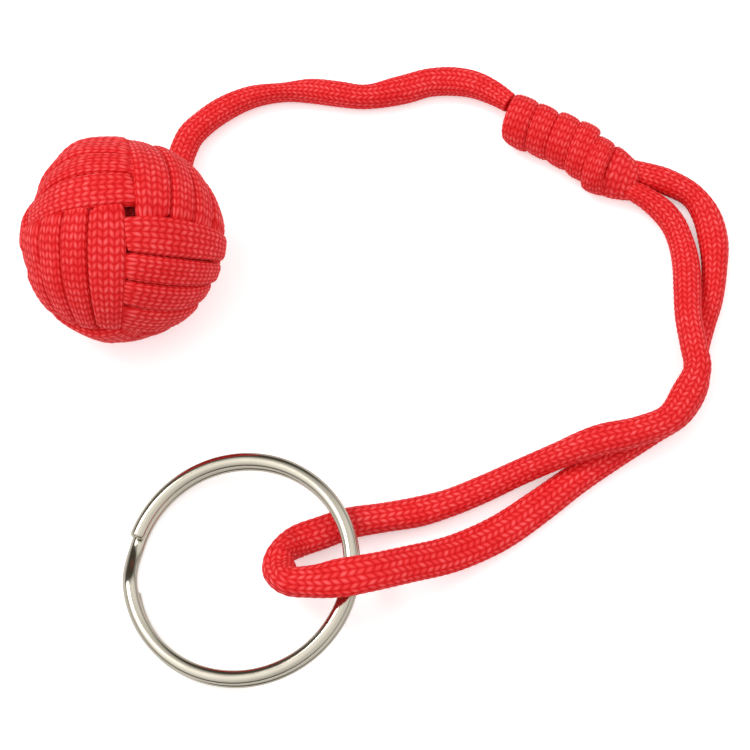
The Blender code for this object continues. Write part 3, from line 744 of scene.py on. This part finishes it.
points = ring_points()[:, ::-1]
places = (np.arange(RING_SECTIONS) / 10, np.arange(RING_SIDES + 1) / RING_SIDES)
ring = tube("key_ring", points, places, nickel())
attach(ring, "ring")
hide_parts("split_ring")


# Steel ball
# A ground bearing ball fills the winding. It shows only through the pinholes between strands.
# Both tones are far darker and warmer than bare steel: painted shade for the dark of the hole at
# the pole. The cloud between them is the ground surface.
STEEL_DARK = (0.15, 0.12, 0.11)
STEEL_PALE = (0.24, 0.20, 0.19)


def ground_steel():
    """Steel painted dark, as painted shade for the hole at the pole, with the faint cloudiness of a
    ground surface.
    """
    made, shader, start = blank("ground_steel")
    coord = start.node("ShaderNodeTexCoord", (), (), output="Object")
    cloud = start.node("ShaderNodeTexNoise", (), {"Vector": coord, "Scale": 500.0, "Detail": 5.0})
    tone = cloud.between(colour(STEEL_DARK), colour(STEEL_PALE))
    made.node_tree.links.new(tone.socket, shader.inputs["Base Color"])
    made.node_tree.links.new((cloud * 0.2 + 0.22).socket, shader.inputs["Roughness"])
    shader.inputs["Metallic"].default_value = 1.0
    return made


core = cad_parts["core_ball"]
steel = ground_steel()
for slot in core.material_slots:
    slot.material = steel


# Table and light
# White paper that goes on past the picture's edges, under a soft studio light from the left and a
# little behind. The sky pales upwards. The ring mirrors its dark corner and its dark band.
TABLE_SIZE = 40.0
PAPER_WHITE = 0.85
SKY_LEVEL = 1.15
SKY_GLOW = 0.7
BAND_HEIGHT = 0.4
BAND_NARROWNESS = 3.4
DARK_CORNER = (-0.45, 0.70, 0.55)
SKY_DARK = (0.06, 0.055, 0.045)
KEY_LEVEL = 0.22
KEY_WIDTH = 20.0
KEY_DIRECTION = (-0.72, 0.36, 0.95)
PAPER_GLOW = 0.4


def white_paper():
    """Matt paper: white to the camera and in reflections, a little darker in what it throws back
    on the cord. To the camera it also glows a little, which keeps the shadow faint."""
    made, shader, start = blank("white_paper")
    ray = start.node("ShaderNodeLightPath").socket.node.outputs
    camera = Wire(made.node_tree, ray["Is Camera Ray"])
    seen = (camera + Wire(made.node_tree, ray["Is Glossy Ray"])
            + Wire(made.node_tree, ray["Is Transmission Ray"])).math("MINIMUM", 1.0)
    white = seen.between(colour((PAPER_WHITE,) * 3), colour((1.0, 1.0, 1.0)))
    glow = camera.between(colour((0.0, 0.0, 0.0)), colour((1.0, 1.0, 1.0)))
    made.node_tree.links.new(white.socket, shader.inputs["Base Color"])
    made.node_tree.links.new(glow.socket, shader.inputs["Emission Color"])
    shader.inputs["Emission Strength"].default_value = PAPER_GLOW
    shader.inputs["Roughness"].default_value = 1.0
    shader.inputs["Specular IOR Level"].default_value = 0.0
    return made


half = TABLE_SIZE / 2
sheet = bpy.data.meshes.new("table")
sheet.from_pydata([(-half, -half, 0), (half, -half, 0), (half, half, 0), (-half, half, 0)], [],
                  [(0, 1, 2, 3)])
sheet.materials.append(white_paper())
table = bpy.data.objects.new("table", sheet)
bpy.context.collection.objects.link(table)


def studio_sky(aim):
    """Sky that pales upwards, to both sides and ahead, less a slanted dark band halfway up and a
    dark corner. Its strength grows by the glow times the fourth power of the cosine to the aim."""
    made = bpy.data.worlds.new("studio")
    made.use_nodes = True
    tree = made.node_tree
    start = Wire(tree, None)
    direction = start.node("ShaderNodeTexCoord", (), (), output="Generated")
    parts = start.node("ShaderNodeSeparateXYZ", (), {0: direction})
    beside = parts.math("ABSOLUTE")
    ahead = Wire(tree, parts.socket.node.outputs[1])
    height = Wire(tree, parts.socket.node.outputs[2])
    from_band = (height - ahead * 0.2 - BAND_HEIGHT).math("ABSOLUTE")
    band = (1 - from_band * BAND_NARROWNESS).math("MAXIMUM", 0.0)
    corner = start.node("ShaderNodeVectorMath", {"operation": "DOT_PRODUCT"},
                        {0: direction, 1: tuple(unit(np.array(DARK_CORNER)))}, output=1)
    corner = (corner * 4.5 - 3.4).math("MAXIMUM", 0.0).math("MINIMUM", 1.0)
    pale = (height * 0.4 + beside * 0.3 + ahead * 0.2 + 0.52 - band * (1.0 - beside * 0.4)
            - corner * 0.9)
    pale = pale.math("MAXIMUM", 0.0).math("MINIMUM", 1.0)
    shade = pale.between(colour(SKY_DARK), colour((1.0, 1.0, 1.0)))
    toward = start.node("ShaderNodeVectorMath", {"operation": "DOT_PRODUCT"},
                        {0: direction, 1: tuple(aim)}, output=1)
    strength = toward.math("MAXIMUM", 0.0) ** 4.0 * SKY_GLOW + SKY_LEVEL
    sky = tree.nodes["Background"]
    tree.links.new(shade.socket, sky.inputs["Color"])
    tree.links.new(strength.socket, sky.inputs["Strength"])
    return made


aim = unit(np.array(KEY_DIRECTION))
bpy.context.scene.world = studio_sky(aim)
key = bpy.data.lights.new("key", "SUN")
key.energy = KEY_LEVEL * math.pi
key.angle = math.radians(KEY_WIDTH)
lamp = bpy.data.objects.new("key", key)
lamp.rotation_euler = (math.acos(aim[2]), 0.0, math.atan2(aim[0], -aim[1]))
bpy.context.collection.objects.link(lamp)

bpy.context.scene.view_settings.view_transform = "Standard"
